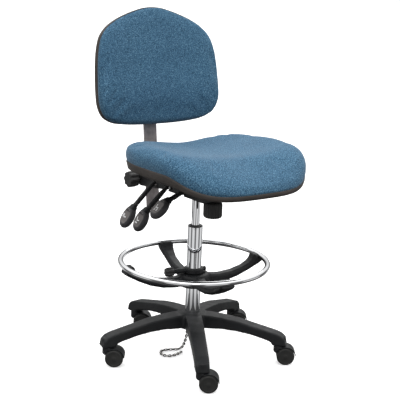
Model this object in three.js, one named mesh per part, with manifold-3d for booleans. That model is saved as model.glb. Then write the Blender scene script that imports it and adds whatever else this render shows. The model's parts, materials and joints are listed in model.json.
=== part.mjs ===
// Drafting chair: five-arm base on twin-wheel casters, gas column, foot ring, multi-function seat mechanism,
// contoured seat, and a backrest on a flat steel upright.
// Millimetres, +Z up. The sitter faces -Y, and the sitter's right hand is on the -X side.
// Everything is laid out about the gas column's axis, then moved so the footprint is centred on the origin.
import * as THREE from "three";
import { mergeVertices } from "three/addons/utils/BufferGeometryUtils.js";
import Module from "manifold-3d";

const wasm = await Module();
wasm.setup();

// ---------------------------------------------------------------- driving dimensions
const AXIS = { x: -5.1, y: 11.6 }; // column axis measured from the middle of the footprint
const GAP = 0.3; // clearance left between touching pieces

const STEM_RADIUS = 300; // caster stems to the column axis
const ARM_TURN = -119; // direction of the first base arm, degrees
const CASTER_TURN = -36; // direction in which all the casters trail, degrees
const WHEEL_R = 30;
const WHEEL_TRAIL = 22;

const COLUMN_R = 25;
const COLUMN_BOTTOM = 112;
const COLUMN_TOP = 449.5;
const CYLINDER_R = 14;
const CYLINDER_BOTTOM = 223;
const CYLINDER_TOP = 586;

const RING_Z = 328;
const RING_R = 245; // centre line of the foot ring
const RING_TUBE = 9.5;
const RING_ARM_TURN = -10; // first of four arms, degrees
const RING_KNOB_TURN = 170;
const RING_KNOB_Z = 299;

const HOUSING = { x: 61, front: -118, back: 108, bottom: 557, top: 590 };
const PIN_Z = 579; // seat tilt pin
const PIN_Y = -62;
const CARRIER_PIN = { y: 62, z: 572 };

const SEAT = { halfWidth: 259, halfDepth: 240, centreY: -104, mountZ: 607.5 };

const LEAN = 6.6; // rearward lean of the backrest, degrees
const CLAMP = { y: 271, z: 564 }; // where the upright passes the clamp
const BAR = { width: 52, thick: 6, below: 119, above: 395 };

const rad = THREE.MathUtils.degToRad;

// ---------------------------------------------------------------- finishes
const finish = (color, roughness, metalness) =>
  new THREE.MeshStandardMaterial({ color, roughness, metalness });
const NYLON = finish(0x26282b, 0.55, 0);
const TREAD = finish(0x2c2e31, 0.6, 0);
const CHROME = finish(0xd6d9dd, 0.08, 1);
const STEEL = finish(0x8b8d90, 0.35, 1);
const BLACK_STEEL = finish(0x1f2022, 0.45, 0.6);
const UPRIGHT = finish(0x5d5555, 0.4, 0.7);
const SLATE = finish(0x3a3d42, 0.45, 0);
const EDGE = finish(0x4b443f, 0.6, 0);
const FABRIC = finish(0x3f6f99, 0.95, 0);

// ---------------------------------------------------------------- geometry helpers
function volumeOf(positions, index) {
  let six = 0;
  const p = (i) => new THREE.Vector3().fromArray(positions, 3 * i);
  for (let i = 0; i < index.length; i += 3) {
    six += p(index[i]).dot(p(index[i + 1]).cross(p(index[i + 2])));
  }
  return six / 6;
}

// A closed, outward-facing, indexed geometry with no collapsed triangles.
function clean(geometry) {
  const bare = geometry.index ? geometry.toNonIndexed() : geometry.clone();
  bare.deleteAttribute("normal");
  bare.deleteAttribute("uv");
  const merged = mergeVertices(bare, 1e-3);
  const source = merged.index.array;
  let index = [];
  for (let i = 0; i < source.length; i += 3) {
    const [a, b, c] = [source[i], source[i + 1], source[i + 2]];
    if (a !== b && b !== c && c !== a) index.push(a, b, c);
  }
  if (volumeOf(merged.attributes.position.array, index) < 0) index = index.reverse();
  merged.setIndex(index);
  return merged;
}

function solidOf(geometry) {
  const g = clean(geometry);
  const vertProperties = g.attributes.position.array;
  const triVerts = new Uint32Array(g.index.array);
  return new wasm.Manifold(new wasm.Mesh({ numProp: 3, vertProperties, triVerts }));
}

function geometryOf(solid) {
  const mesh = solid.getMesh();
  const g = new THREE.BufferGeometry();
  g.setAttribute("position", new THREE.BufferAttribute(new Float32Array(mesh.vertProperties), 3));
  g.setIndex(new THREE.BufferAttribute(new Uint32Array(mesh.triVerts), 1));
  return g;
}

const join = (...pieces) => geometryOf(pieces.map(solidOf).reduce((a, b) => a.add(b)));
const cut = (body, ...tools) => geometryOf(tools.map(solidOf).reduce((a, b) => a.subtract(b), solidOf(body)));

// A solid turned about Z from [radius, z] points that start and end on the axis, or close on themselves.
function turned(points, segments) {
  const profile = points.map(([r, z]) => new THREE.Vector2(r, z));
  return clean(new THREE.LatheGeometry(profile, segments).rotateX(Math.PI / 2));
}

const disc = (r, z0, z1, segments = 24) => turned([[0, z0], [r, z0], [r, z1], [0, z1]], segments);

const sleeve = (inner, outer, z0, z1, segments = 32) =>
  turned([[inner, z0], [outer, z0], [outer, z1], [inner, z1], [inner, z0]], segments);

const block = (x0, x1, y0, y1, z0, z1) =>
  clean(
    new THREE.BoxGeometry(x1 - x0, y1 - y0, z1 - z0)
      .translate((x0 + x1) / 2, (y0 + y1) / 2, (z0 + z1) / 2),
  );

// A flat outline of [a, b] points pushed out to both sides of its plane, with a rounded edge.
function plate(points, depth, bevel = 0, segments = 2) {
  const shape = new THREE.Shape(points.map(([a, b]) => new THREE.Vector2(a, b)));
  const options = {
    depth: depth - 2 * bevel,
    bevelEnabled: bevel > 0,
    bevelThickness: bevel,
    bevelSize: bevel,
    bevelOffset: -bevel,
    bevelSegments: segments,
    curveSegments: 6,
  };
  return new THREE.ExtrudeGeometry(shape, options).translate(0, 0, -depth / 2 + bevel);
}

// Stands a plate's outline up: a runs along X, b along Z, and the depth along Y.
const upright = (geometry) => geometry.rotateX(Math.PI / 2);
// The same with a along Y and the depth along X.
const sideways = (geometry) => geometry.rotateX(Math.PI / 2).rotateZ(Math.PI / 2);

// A closed skin over rings of points, each ring with the same count; both ends are closed by a fan.
// other splits each quad along its other diagonal, for a skin that shares its rings with one in reverse order.
function skin(rings, other = false) {
  const count = rings[0].length;
  const points = rings.flat();
  const index = [];
  for (let r = 0; r + 1 < rings.length; r++) {
    for (let i = 0; i < count; i++) {
      const j = (i + 1) % count;
      const [a, b, c, d] = [r * count + i, r * count + j, (r + 1) * count + j, (r + 1) * count + i];
      if (other) index.push(a, b, d, b, c, d);
      else index.push(a, b, c, a, c, d);
    }
  }
  for (const [start, turn] of [[0, 1], [(rings.length - 1) * count, 0]]) {
    const middle = new THREE.Vector3();
    for (let i = 0; i < count; i++) middle.addScaledVector(points[start + i], 1 / count);
    const m = points.push(middle) - 1;
    for (let i = 0; i < count; i++) {
      const j = (i + 1) % count;
      if (turn) index.push(m, start + j, start + i);
      else index.push(m, start + i, start + j);
    }
  }
  const g = new THREE.BufferGeometry().setFromPoints(points);
  g.setIndex(index);
  return clean(g);
}

// A ring of points about a centre: half sizes along u and v, power 2 is an ellipse and more is squarer.
function ringAt(centre, u, v, halfU, halfV, power, count) {
  const ring = [];
  for (let i = 0; i < count; i++) {
    const t = (i / count) * 2 * Math.PI;
    const [c, s] = [Math.cos(t), Math.sin(t)];
    const p = centre.clone();
    p.addScaledVector(u, halfU * Math.sign(c) * Math.abs(c) ** (2 / power));
    p.addScaledVector(v, halfV * Math.sign(s) * Math.abs(s) ** (2 / power));
    ring.push(p);
  }
  return ring;
}

// A rod of the given radius from one point to another.
function rod(from, to, radius, segments = 12) {
  const way = to.clone().sub(from);
  const g = new THREE.CylinderGeometry(radius, radius, way.length(), segments);
  g.applyQuaternion(new THREE.Quaternion().setFromUnitVectors(new THREE.Vector3(0, 1, 0), way.normalize()));
  const middle = from.clone().add(to).multiplyScalar(0.5);
  return clean(g.translate(middle.x, middle.y, middle.z));
}

// A hand knob about Z with rounded lobes, from z0 to z1.
function lobedKnob(radius, lobes, depth, z0, z1) {
  const count = lobes * 4;
  const outline = (scale) => (z) => {
    const ring = [];
    for (let i = 0; i < count; i++) {
      const t = (i / count) * 2 * Math.PI;
      const r = (radius - depth * (0.5 - 0.5 * Math.cos(lobes * t))) * scale;
      ring.push(new THREE.Vector3(r * Math.cos(t), r * Math.sin(t), z));
    }
    return ring;
  };
  const soft = Math.min(4, (z1 - z0) / 4);
  return skin([outline(0.86)(z0), outline(1)(z0 + soft), outline(1)(z1 - soft), outline(0.88)(z1)]);
}

// ---------------------------------------------------------------- base and column
// Side outline of one base arm, [distance from the axis, height].
const ARM_SIDE = [
  [30, 150], [60, 149], [110, 145], [160, 138], [205, 127], [250, 117], [290, 108], [308, 101], [320, 88], [324, 67],
  [279, 67], [274, 78], [255, 84], [205, 97], [160, 104], [110, 107], [60, 104], [30, 104],
];
const ARM_CHANNEL = [
  [62, 90], [62, 138], [110, 136], [160, 129], [205, 118], [245, 108], [268, 96], [268, 66], [205, 60], [110, 80],
];
const ARM_RIBS = [90, 118, 146, 174, 202, 230, 254]; // cross ribs, distance from the axis

// An arm standing along X, its width scaled from one value at radius r0 to another at r1.
function taperArm(geometry, from = 1.15, to = 0.92, r0 = 60, r1 = 290) {
  const p = geometry.attributes.position;
  for (let i = 0; i < p.count; i++) {
    const share = THREE.MathUtils.clamp((p.getX(i) - r0) / (r1 - r0), 0, 1);
    p.setY(i, p.getY(i) * THREE.MathUtils.lerp(from, to, share));
  }
  return geometry;
}

// The hollow under one arm: two rows of cells between a middle rib and cross ribs.
function ribbedChannel() {
  const channel = taperArm(upright(plate(ARM_CHANNEL, 31)));
  const ribs = ARM_RIBS.map((x) => block(x - 1.2, x + 1.2, -30, 30, 40, 170));
  return cut(channel, block(50, 280, -1.4, 1.4, 40, 170), ...ribs);
}

function baseStar() {
  const arms = [];
  const hollows = [];
  for (let k = 0; k < 5; k++) {
    const turn = rad(ARM_TURN + 72 * k);
    arms.push(taperArm(upright(plate(ARM_SIDE, 48, 8, 1))).rotateZ(turn));
    arms.push(disc(21.5, 67, 96, 16).translate(STEM_RADIUS, 0, 0).rotateZ(turn));
    hollows.push(ribbedChannel().rotateZ(turn));
    hollows.push(disc(5.8, 60, 99, 12).translate(STEM_RADIUS, 0, 0).rotateZ(turn));
  }
  const hub = turned([[0, 100], [50, 100], [54, 106], [54, 138], [46, 149], [36, 153], [0, 153]], 32);
  const cup = disc(40, 90, 110, 24);
  const bore = disc(COLUMN_R + GAP, 100, 160, 32);
  return cut(join(hub, ...arms), ...hollows, cup, bore);
}

const columnTube = () =>
  turned(
    [
      [5.3, COLUMN_BOTTOM], [COLUMN_R, COLUMN_BOTTOM], [COLUMN_R, COLUMN_TOP], [22.2, COLUMN_TOP],
      [22.2, COLUMN_BOTTOM + 1.7], [5.3, COLUMN_BOTTOM + 1.7], [5.3, COLUMN_BOTTOM],
    ],
    32,
  );

const columnBush = () =>
  turned(
    [
      [CYLINDER_R + 0.3, 388], [21.9, 388], [21.9, COLUMN_TOP + GAP], [24.6, COLUMN_TOP + GAP], [24.6, 452],
      [23.4, 453.5], [CYLINDER_R + 0.3, 453.5], [CYLINDER_R + 0.3, 388],
    ],
    32,
  );

const thrustBearing = () => sleeve(5.4, 21.9, 114, 119, 24);
const pistonRod = () =>
  turned([[0, 106], [4.9, 106], [4.9, 388], [10.7, 388], [10.7, 398], [0, 398]], 20);
const retainingClip = () => sleeve(5.2, 11, 108.5, 110.5, 16);

const gasCylinder = () =>
  turned(
    [
      [11, CYLINDER_BOTTOM], [CYLINDER_R, CYLINDER_BOTTOM], [CYLINDER_R, CYLINDER_TOP], [4.6, CYLINDER_TOP],
      [4.6, 574], [0, 574], [0, 560], [11, 560], [11, CYLINDER_BOTTOM],
    ],
    28,
  );

const releaseButton = () => turned([[0, 577.5], [4.3, 577.5], [4.3, 592], [3, 593.5], [0, 593.5]], 12);

// ---------------------------------------------------------------- casters, trailing along +X from their stem
const wheelSide = (side) =>
  turned(
    [[0, 25], [24, 24.6], [29, 22], [30, 19], [30, 8.3], [3.2, 8.3], [3.2, 20.8], [0, 20.8]],
    20,
  )
    .rotateX(side > 0 ? -Math.PI / 2 : Math.PI / 2)
    .translate(WHEEL_TRAIL, 0, WHEEL_R);

const casterAxle = () => disc(3, -20.5, 20.5, 12).rotateX(Math.PI / 2).translate(WHEEL_TRAIL, 0, WHEEL_R);
const casterStem = () => turned([[0, 45], [5.5, 45], [5.5, 95], [4, 98], [0, 98]], 12);

function casterHood() {
  const neck = turned([[0, 38], [14, 38], [18.5, 43], [18.5, 62], [16.5, 65.5], [0, 65.5]], 16);
  const web = disc(20, -6.9, 6.9, 16).rotateX(Math.PI / 2).translate(WHEEL_TRAIL, 0, WHEEL_R);
  const bridge = block(-8, 22, -6.9, 6.9, 30, 60);
  const fender = cut(
    disc(34.6, -23.5, 23.5, 24).rotateX(Math.PI / 2),
    disc(31.6, -30, 30, 24).rotateX(Math.PI / 2),
    block(-60, 60, -40, 40, -60, 4),
    block(-60, -10, -40, 40, 0, 28),
  ).translate(WHEEL_TRAIL, 0, WHEEL_R);
  const rib = block(14, 30, -6.9, 6.9, 45, 63);
  const clearance = [1, -1].map((side) =>
    disc(31.6, 6.9, 30, 24)
      .rotateX(side > 0 ? -Math.PI / 2 : Math.PI / 2)
      .translate(WHEEL_TRAIL, 0, WHEEL_R),
  );
  const axleBore = disc(3.3, -30, 30, 12).rotateX(Math.PI / 2).translate(WHEEL_TRAIL, 0, WHEEL_R);
  const stemBore = disc(5.5 + GAP, 44.7, 80, 12);
  return cut(join(neck, web, bridge, rib, fender), ...clearance, axleBore, stemBore);
}

// ---------------------------------------------------------------- foot ring
// Side outline of a ring arm: the tube lies on its end, held by a lug on the inner side.
const RING_ARM_SIDE = [
  [34, 286], [60, 281], [95, 278], [140, 283], [180, 295], [205, 308], [215, 319], [219, 331], [223, 334.5],
  [240, 334.5], [246, 330], [247, 324], [253, 318], [254, 311], [236, 300], [200, 280], [160, 262], [115, 250],
  [70, 246], [34, 248],
];

// Sleeve that slides on the column and turns inside the hub, with the clamp screw's boss on its upper rim.
function ringCollar() {
  const body = turned(
    [[0, 244], [29.6, 244], [29.6, 290], [33, 290], [33, 305], [30.5, 308], [0, 308]],
    32,
  );
  const outward = (g) => g.rotateY(Math.PI / 2).translate(0, 0, RING_KNOB_Z).rotateZ(rad(RING_KNOB_TURN));
  const boss = outward(disc(8.6, 20, 73, 14));
  const lug = outward(disc(8, -43, -20, 14));
  return cut(join(body, boss, lug), disc(25.25, 240, 320, 32), outward(disc(4.3, 0, 80, 12)));
}

function ringHub() {
  const core = turned([[0, 246], [50, 246], [55, 251], [55, 281], [49, 289], [0, 289]], 32);
  const arm = () => taperArm(upright(plate(RING_ARM_SIDE, 36, 6, 1)), 1, 1.4, 185, 232);
  const arms = [0, 1, 2, 3].map((k) => arm().rotateZ(rad(RING_ARM_TURN + 90 * k)));
  const tubeSeat = new THREE.TorusGeometry(RING_R, RING_TUBE + GAP, 8, 64).translate(0, 0, RING_Z);
  return cut(join(core, ...arms), disc(30, 230, 300, 32), tubeSeat);
}

const footRing = () => clean(new THREE.TorusGeometry(RING_R, RING_TUBE, 8, 64).translate(0, 0, RING_Z));

function ringKnob() {
  const grip = lobedKnob(16, 6, 3, 74, 105);
  const screw = disc(4, 26, 90, 12);
  return join(grip, screw).rotateY(Math.PI / 2).translate(0, 0, RING_KNOB_Z).rotateZ(rad(RING_KNOB_TURN));
}

// ---------------------------------------------------------------- seat mechanism
const LEVERS = {
  height: { root: [-57, 0, 570], rodAngle: 25, rodLength: 50, headAngle: 43 },
  tilt: { root: [-57, 88, 571], rodAngle: 46, rodLength: 98, headAngle: 62 },
  back: { root: [-57, 163, 575], rodAngle: 48, rodLength: 108, headAngle: 60 },
};

function mechHousing() {
  const h = HOUSING;
  const plan = [[h.front, -h.x], [h.back, -h.x], [h.back, h.x], [h.front, h.x]];
  const shell = plate(plan, h.top - h.bottom, 3, 2)
    .translate(0, 0, (h.top + h.bottom) / 2)
    .rotateZ(Math.PI / 2);
  const inside = block(-h.x + 4, h.x - 4, h.front + 4, h.back - 4, h.bottom + 4, h.top + 5);
  const tower = disc(22, h.bottom, 582, 28);
  const frontBoss = disc(16, h.bottom, 565, 20).translate(0, -92, 0);
  const open = [
    disc(CYLINDER_R + GAP, 500, 600, 28),
    disc(5.4, 500, 600, 16).translate(0, -92, 0),
    disc(5.2, -80, 80, 16).rotateY(Math.PI / 2).translate(0, PIN_Y, PIN_Z),
    disc(5.2, -80, 80, 16).rotateY(Math.PI / 2).translate(0, CARRIER_PIN.y, CARRIER_PIN.z),
    block(-52, 52, 45, 120, 540, 600),
  ];
  for (const name of ["height", "tilt"]) {
    const [x, y, z] = LEVERS[name].root;
    open.push(disc(13, -20, 20, 16).rotateY(Math.PI / 2).translate(x, y, z - 3));
  }
  return cut(join(cut(shell, inside), tower, frontBoss), ...open);
}

const crossPin = (y, z, half) => disc(4.9, -half, half, 14).rotateY(Math.PI / 2).translate(0, y, z);

function tensionKnob() {
  const grip = lobedKnob(31, 12, 3.4, 499, 552);
  return cut(grip, disc(5.3, 505, 560, 14)).translate(0, -92, 0);
}

const tensionBolt = () =>
  turned([[0, 505.5], [5, 505.5], [5, 575], [9, 575], [9, 581], [0, 581]], 14).translate(0, -92, 0);

function tensionSpring() {
  class Coil extends THREE.Curve {
    getPoint(t) {
      const a = t * 3 * 2 * Math.PI;
      return new THREE.Vector3(9.4 * Math.cos(a), -92 + 9.4 * Math.sin(a), 567 + 5.6 * t);
    }
  }
  const wire = new THREE.Shape().absellipse(0, 0, 0.8, 0.8, 0, 2 * Math.PI, false, 0);
  const options = { steps: 30, curveSegments: 3, extrudePath: new Coil(), bevelEnabled: false };
  return new THREE.ExtrudeGeometry(wire, options);
}

function leverLine(name) {
  const { root, rodAngle, rodLength, headAngle } = LEVERS[name];
  const start = new THREE.Vector3(...root);
  const way = new THREE.Vector3(-Math.cos(rad(rodAngle)), 0.1, -Math.sin(rad(rodAngle))).normalize();
  const end = start.clone().addScaledVector(way, rodLength);
  const head = new THREE.Vector3(-Math.cos(rad(headAngle)), 0.06, -Math.sin(rad(headAngle))).normalize();
  return { start, way, end, head };
}

function leverRod(name) {
  const { start, end } = leverLine(name);
  return rod(start, end, 7.6, 14);
}

// An egg-shaped grip, flattened on the side that faces outwards.
function leverPaddle(name) {
  const { end, way, head } = leverLine(name);
  const stations = [
    [0, 8.5, 8.5], [9, 9, 9], [13, 12.5, 12], [22, 18.5, 16.5], [36, 23.5, 19.5], [52, 25, 20], [68, 21.5, 17],
    [79, 14, 12], [85, 5, 4.5],
  ];
  const side = new THREE.Vector3(0, 1, 0);
  const centre = end.clone().addScaledVector(way, GAP);
  let reached = 0;
  const rings = stations.map(([s, halfU, halfV]) => {
    const along = way.clone().lerp(head, THREE.MathUtils.smoothstep(s, 0, 26)).normalize();
    centre.addScaledVector(along, s - reached);
    reached = s;
    const across = side.clone().addScaledVector(along, -side.dot(along)).normalize();
    const normal = along.clone().cross(across).normalize();
    return ringAt(centre, across, normal, halfU, halfV, 2.3, 16);
  });
  return skin(rings);
}

// ---------------------------------------------------------------- seat
const smooth = THREE.MathUtils.smoothstep;

// Height of the line where fabric meets the moulded edge, from the seat's front (-1) to its rear (+1).
const seamHeight = (v) => 682 - 52 * smooth(-v, 0.31, 1.02) ** 1.12 - 4 * smooth(v, 0.5, 1);
const bandHeight = (v) => 28 - 10 * smooth(-v, 0.3, 1);

// Height of the cushion's top over the seat's plan, u to the side and v to the rear.
function seatTop(u, v) {
  const side = Math.abs(u) ** 1.65;
  const bolster = 44 * side * (1 - 0.21 * smooth(v, -0.15, 1)) * (1 - 0.41 * smooth(-v, 0, 0.6));
  const rear = 8 * smooth(v, 0.35, 0.95);
  const thigh = 8 * smooth(-v, 0.05, 0.55);
  const fall = 52 * smooth(-v, 0.29, 1.06) ** 1.65;
  return 707.5 + bolster + rear + thigh - fall;
}

function seatPoint(turn, scale) {
  const [c, s] = [Math.cos(turn), Math.sin(turn)];
  const power = 2 / THREE.MathUtils.lerp(2.85, 3.7, smooth(s, -0.9, 0.3));
  const v = Math.sign(s) * Math.abs(s) ** power;
  const narrow = 1 - 0.03 * smooth(v, 0.2, 1);
  const u = Math.sign(c) * Math.abs(c) ** power * narrow;
  return { u: u * scale, v: v * scale, edge: v };
}

function seatRing(count, scale, height) {
  const ring = [];
  for (let i = 0; i < count; i++) {
    const p = seatPoint((i / count) * 2 * Math.PI, scale);
    const x = p.u * SEAT.halfWidth;
    const y = SEAT.centreY + p.v * SEAT.halfDepth;
    ring.push(new THREE.Vector3(x, y, height(p)));
  }
  return ring;
}

// The shared surface between shell and cushion: the seam height at the edge, falling to a flat middle.
const seatBed = (scale) => (p) => THREE.MathUtils.lerp(640, seamHeight(p.edge), scale ** 4);

function seatShell() {
  const n = 40;
  const lower = (p) => seamHeight(p.edge) - bandHeight(p.edge);
  return skin([
    seatRing(n, 0.3, () => SEAT.mountZ),
    seatRing(n, 0.52, () => SEAT.mountZ),
    seatRing(n, 0.8, (p) => THREE.MathUtils.lerp(SEAT.mountZ, lower(p), 0.55)),
    seatRing(n, 0.955, lower),
    seatRing(n, 0.985, (p) => lower(p) + 4),
    seatRing(n, 1, (p) => seamHeight(p.edge) - 8),
    seatRing(n, 0.995, (p) => seamHeight(p.edge) - GAP),
    seatRing(n, 0.9, (p) => seatBed(0.9)(p) - GAP),
    seatRing(n, 0.7, (p) => seatBed(0.7)(p) - GAP),
    seatRing(n, 0.4, (p) => seatBed(0.4)(p) - GAP),
  ], true);
}

function seatCushion() {
  const n = 40;
  const rise = (share) => (p) => THREE.MathUtils.lerp(seamHeight(p.edge), seatTop(p.u, p.v), share);
  return skin([
    seatRing(n, 0.4, seatBed(0.4)),
    seatRing(n, 0.7, seatBed(0.7)),
    seatRing(n, 0.9, seatBed(0.9)),
    seatRing(n, 0.995, (p) => seamHeight(p.edge)),
    seatRing(n, 1.011, rise(0.28)),
    seatRing(n, 1.009, rise(0.5)),
    seatRing(n, 0.988, rise(0.69)),
    seatRing(n, 0.944, rise(0.86)),
    seatRing(n, 0.885, rise(0.97)),
    seatRing(n, 0.78, rise(1)),
    seatRing(n, 0.56, rise(1)),
    seatRing(n, 0.3, rise(1)),
  ]);
}

// Steel plate under the shell, with two ears that hang on the tilt pin.
function seatPlate() {
  const top = SEAT.mountZ - GAP;
  const sheet = plate([[-100, -85], [100, -85], [100, 85], [-100, 85]], 4, 1, 1)
    .rotateZ(Math.PI / 2)
    .translate(0, -10, top - 2);
  const ears = [-1, 1].map((side) => {
    const outline = [
      [PIN_Y - 22, top - 2], [PIN_Y + 22, top - 2], [PIN_Y + 12, PIN_Z - 10], [PIN_Y - 12, PIN_Z - 10],
    ];
    return sideways(plate(outline, 4)).translate(side * (HOUSING.x + 3), 0, 0);
  });
  return cut(join(sheet, ...ears), disc(5.25, -90, 90, 14).rotateY(Math.PI / 2).translate(0, PIN_Y, PIN_Z));
}

// ---------------------------------------------------------------- backrest carrier and clamp
function backCarrier() {
  const tongue = block(-49, 49, 49, 130, 560, 584);
  const side = [[113, 556], [113, 590], [180, 594], [250, 594], [288, 590], [291, 545], [252, 541], [180, 548]];
  const body = sideways(plate(side, 116, 4, 2));
  const [rootX, rootY, rootZ] = LEVERS.back.root;
  const holes = [
    block(-52, 52, 122, 246, 530, 584),
    disc(5.2, -80, 80, 14).rotateY(Math.PI / 2).translate(0, CARRIER_PIN.y, CARRIER_PIN.z),
    block(-26.4, 26.4, -3.3, 3.3, -80, 80).rotateX(rad(-LEAN)).translate(0, CLAMP.y, CLAMP.z),
    disc(5.3, -75, -29, 14).rotateY(Math.PI / 2).translate(0, CLAMP.y - 1, CLAMP.z),
    disc(13, -20, 14, 16).rotateY(Math.PI / 2).translate(rootX, rootY, rootZ - 3),
  ];
  return cut(join(tongue, body), ...holes);
}

function clampKnob() {
  const grip = lobedKnob(28.5, 8, 3.5, 64, 101);
  const screw = disc(5, 32, 80, 14);
  return join(grip, screw).rotateY(-Math.PI / 2).translate(0, CLAMP.y - 1, CLAMP.z);
}

// ---------------------------------------------------------------- backrest, in a frame whose Z runs up the upright
const onUpright = (geometry) => geometry.rotateX(rad(-LEAN)).translate(0, CLAMP.y, CLAMP.z);

function backUpright() {
  const outline = [[-26, -BAR.below], [26, -BAR.below], [26, BAR.above], [-26, BAR.above]];
  return onUpright(plate(outline, BAR.thick, 0.8, 1).rotateX(Math.PI / 2));
}

function backBracket() {
  const outline = [[-42, 286], [42, 286], [42, 392], [-42, 392]];
  return onUpright(plate(outline, 7.4, 1, 1).rotateX(Math.PI / 2).translate(0, -7, 0));
}

// Half outline of the backrest, [half width, height above the clamp], bottom to top.
const BACK_HALF = [
  [0, 187], [71, 188], [132, 192], [184, 201], [219, 221], [236, 255], [240, 300], [239, 349], [236, 399],
  [229, 446], [215, 486], [187, 517], [147, 541], [105, 558.5], [64, 572], [30, 580], [0, 582],
];
const BACK_MIDDLE = 385;

function backOutline(count) {
  const half = BACK_HALF.map(([x, z]) => new THREE.Vector3(x, 0, z));
  const other = BACK_HALF.slice(1, -1).reverse().map(([x, z]) => new THREE.Vector3(-x, 0, z));
  const curve = new THREE.CatmullRomCurve3([...half, ...other], true, "centripetal");
  return curve.getSpacedPoints(count).slice(0, count);
}

const BACK_RING = backOutline(44);

// One ring of the backrest: scale about its middle, and how far it stands forward of the upright.
function backRing(scale, depth) {
  return BACK_RING.map((p) => {
    const x = p.x * scale;
    const z = BACK_MIDDLE + (p.z - BACK_MIDDLE) * scale;
    const wrap = 20 * (x / 234) ** 2;
    return new THREE.Vector3(x, -(depth(x, z) + wrap), z);
  });
}

const even = (d) => () => d;
const lumbar = (d) => (x, z) => d + 9 * Math.exp(-(((z - 290) / 75) ** 2)) - 16 * smooth(z, 400, 570);

const backShell = () =>
  onUpright(
    skin([
      backRing(0.35, even(11)),
      backRing(0.6, even(11.5)),
      backRing(0.85, even(15)),
      backRing(0.95, even(20)),
      backRing(0.995, even(27)),
      backRing(1, even(34)),
      backRing(0.994, even(40)),
      backRing(0.88, even(34)),
      backRing(0.6, even(28)),
      backRing(0.35, even(26)),
    ], true),
  );

const backCushion = () =>
  onUpright(
    skin([
      backRing(0.35, even(26.4)),
      backRing(0.6, even(28.4)),
      backRing(0.88, even(34.4)),
      backRing(0.994, even(40.4)),
      backRing(1.002, even(50)),
      backRing(0.995, lumbar(60)),
      backRing(0.965, lumbar(68)),
      backRing(0.9, lumbar(72.5)),
      backRing(0.75, lumbar(74)),
      backRing(0.5, lumbar(74)),
      backRing(0.25, lumbar(74)),
    ]),
  );

// ---------------------------------------------------------------- drag chain
const CHAIN_ROUTE = [
  [-18, 0, 97], [-18, 1, 82], [-18, 5, 60], [-18, 14, 36], [-18, 28, 14], [-24, 39, 4.2], [-40, 46, 3.6],
  [-67, 56, 3.6], [-88, 53, 3.6], [-98, 36, 3.6], [-94, 14, 3.6], [-78, 4, 3.6], [-56, 5, 3.6], [-32, 13, 3.6],
];

function dragChain() {
  const points = CHAIN_ROUTE.map((p) => new THREE.Vector3(...p));
  const path = new THREE.CatmullRomCurve3(points, false, "centripetal");
  const link = new THREE.Shape().absellipse(0, 0, 3.2, 3.2, 0, 2 * Math.PI, false, 0);
  const options = { steps: 40, curveSegments: 4, extrudePath: path, bevelEnabled: false };
  return new THREE.ExtrudeGeometry(link, options);
}

function chainHook() {
  const washer = sleeve(26, 34, 106.5, 109.7, 24);
  const tab = block(-30, -13.5, -4.5, 4.5, 99, 109.6);
  return join(washer, tab);
}

// ---------------------------------------------------------------- assembly
const chair = new THREE.Group();
chair.name = "drafting_chair";
chair.position.set(AXIS.x, AXIS.y, 0);

function add(name, geometry, material) {
  const mesh = new THREE.Mesh(clean(geometry), material);
  mesh.name = name;
  chair.add(mesh);
}

add("base_star", baseStar(), NYLON);
add("column_tube", columnTube(), CHROME);
add("column_bush", columnBush(), NYLON);
add("thrust_bearing", thrustBearing(), STEEL);
add("retaining_clip", retainingClip(), STEEL);
add("chain_hook", chainHook(), STEEL);
add("drag_chain", dragChain(), STEEL);
add("piston_rod", pistonRod(), STEEL);
add("gas_cylinder", gasCylinder(), CHROME);
add("release_button", releaseButton(), STEEL);

for (let k = 0; k < 5; k++) {
  const a = rad(ARM_TURN + 72 * k);
  const [x, y] = [STEM_RADIUS * Math.cos(a), STEM_RADIUS * Math.sin(a)];
  const place = (g) => g.rotateZ(rad(CASTER_TURN)).translate(x, y, 0);
  const n = k + 1;
  add(`caster_stem_${n}`, place(casterStem()), STEEL);
  add(`caster_hood_${n}`, place(casterHood()), NYLON);
  add(`caster_axle_${n}`, place(casterAxle()), STEEL);
  add(`wheel_left_${n}`, place(wheelSide(1)), TREAD);
  add(`wheel_right_${n}`, place(wheelSide(-1)), TREAD);
}

add("ring_collar", ringCollar(), NYLON);
add("ring_hub", ringHub(), NYLON);
add("foot_ring", footRing(), CHROME);
add("ring_knob", ringKnob(), NYLON);

add("mech_housing", mechHousing(), BLACK_STEEL);
add("tilt_pin", crossPin(PIN_Y, PIN_Z, 70), STEEL);
add("carrier_pin", crossPin(CARRIER_PIN.y, CARRIER_PIN.z, 66), STEEL);
add("tension_bolt", tensionBolt(), STEEL);
add("tension_spring", tensionSpring(), STEEL);
add("tension_knob", tensionKnob(), NYLON);
for (const name of Object.keys(LEVERS)) {
  add(`${name}_lever_rod`, leverRod(name), NYLON);
  add(`${name}_lever_paddle`, leverPaddle(name), SLATE);
}

add("seat_plate", seatPlate(), BLACK_STEEL);
add("seat_shell", seatShell(), EDGE);
add("seat_cushion", seatCushion(), FABRIC);

add("back_carrier", backCarrier(), BLACK_STEEL);
add("clamp_knob", clampKnob(), NYLON);
add("back_upright", backUpright(), UPRIGHT);
add("back_bracket", backBracket(), BLACK_STEEL);
add("back_shell", backShell(), EDGE);
add("back_cushion", backCushion(), FABRIC);

export default chair;
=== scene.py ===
import json
import math

import bmesh
import bpy
import numpy as np
from mathutils import Matrix, Vector


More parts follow.
